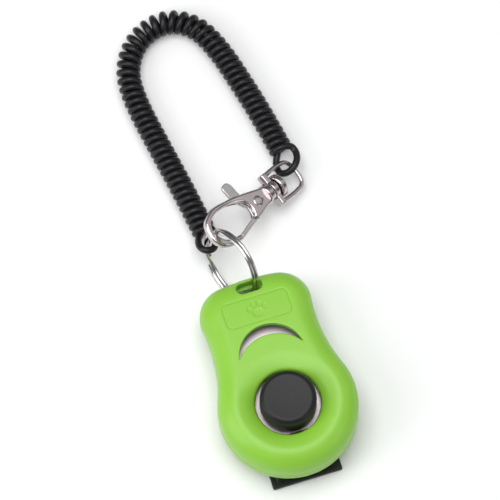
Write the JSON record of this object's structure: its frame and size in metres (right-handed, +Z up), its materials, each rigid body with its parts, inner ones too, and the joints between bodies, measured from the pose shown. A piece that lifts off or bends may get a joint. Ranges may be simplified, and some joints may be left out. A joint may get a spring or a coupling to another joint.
{
  "type": "clicker trainer",
  "caption": "Hand-held dog-training clicker with a push button over a steel sounding plate, belt clip, split ring, swivel lobster clasp and coiled wrist strap.",
  "frame": {"origin": "on the outer face of the belt clip, on the push button's axis, with the clicker lying on the clip", "axes": "+Z up along the button's axis, +Y towards the end of the case with the ring slot, +X to the right seen from above"},
  "size_m": [0.0493, 0.1547, 0.0233],
  "materials": {
    "shell_front": "satin moulded plastic, lime green",
    "shell_back": "satin moulded plastic, lime green",
    "button": "satin black plastic",
    "click_steel": "bright spring steel",
    "screw_steel": "zinc plated",
    "clip_plastic": "black moulded plastic",
    "ring_steel": "polished nickel plate",
    "clasp_nickel": "nickel plated zinc casting",
    "clasp_nickel_post": "nickel plated",
    "lever_steel": "nickel plated stamping",
    "rivet_steel": "nickel plated",
    "spring_steel": "spring steel",
    "eye_nickel": "nickel plated",
    "strap_cord": "glossy black polyurethane cord"
  },
  "bodies": {
    "clicker": {"front_shell": "shell_front", "back_shell": "shell_back", "click_plate": "click_steel", "plate_screw_left": "screw_steel", "plate_screw_right": "screw_steel", "clip_screw_left": "screw_steel", "clip_screw_right": "screw_steel", "case_screw_tail_left": "screw_steel", "case_screw_tail_right": "screw_steel", "case_screw_head_left": "screw_steel", "case_screw_head_right": "screw_steel", "clip_foot": "clip_plastic", "wrist_coil": "strap_cord", "coil_loop_ring": "strap_cord", "coil_loop_eye": "strap_cord"},
    "button": {"button_cap": "button"},
    "belt_clip": {"clip_leg": "clip_plastic"},
    "split_ring": {"split_ring": "ring_steel"},
    "clasp": {"clasp_hook": "clasp_nickel", "lever_rivet": "rivet_steel", "lever_spring": "spring_steel", "swivel_post": "clasp_nickel_post"},
    "lever": {"clasp_lever": "lever_steel"},
    "eye": {"swivel_eye": "eye_nickel"}
  },
  "joints": [
    {"name": "button_press", "type": "slide", "parent": "clicker", "child": "button", "axis": [0, 0, -1], "range_m": [0, 0.0015], "stiffness_N_per_m": 900, "springref_m": -0.0003, "deforming": ["click_plate"]},
    {"name": "clip_flex", "type": "hinge", "parent": "clicker", "child": "belt_clip", "pos_m": [0, 0.0208, 0.0009], "axis": [1, 0, 0], "range_deg": [0, 6], "stiffness_Nm_per_rad": 2, "springref_deg": -2.86},
    {"name": "ring_turn", "type": "hinge", "parent": "clicker", "child": "split_ring", "pos_m": [-0.0026, 0.0478, 0.0115], "axis": [0.8938, 0.3079, -0.3259], "continuous": true},
    {"name": "clasp_swing", "type": "hinge", "parent": "clicker", "child": "clasp", "pos_m": [-0.00334, 0.05772, 0.01657], "axis": [-0.3698, 0.8971, 0.2416], "range_deg": [-20, 2], "deforming": ["wrist_coil", "coil_loop_ring", "coil_loop_eye"]},
    {"name": "lever_pull", "type": "hinge", "parent": "clasp", "child": "lever", "pos_m": [0.01059, 0.06463, 0.0102], "axis": [-0.4398, 0.0601, -0.8961], "range_deg": [0, 26], "stiffness_Nm_per_rad": 0.01, "springref_deg": -11.46},
    {"name": "eye_swivel", "type": "hinge", "parent": "clasp", "child": "eye", "pos_m": [0.01665, 0.06787, 0.00745], "axis": [0.8184, 0.4377, -0.3723], "range_deg": [-25, 25]}
  ]
}
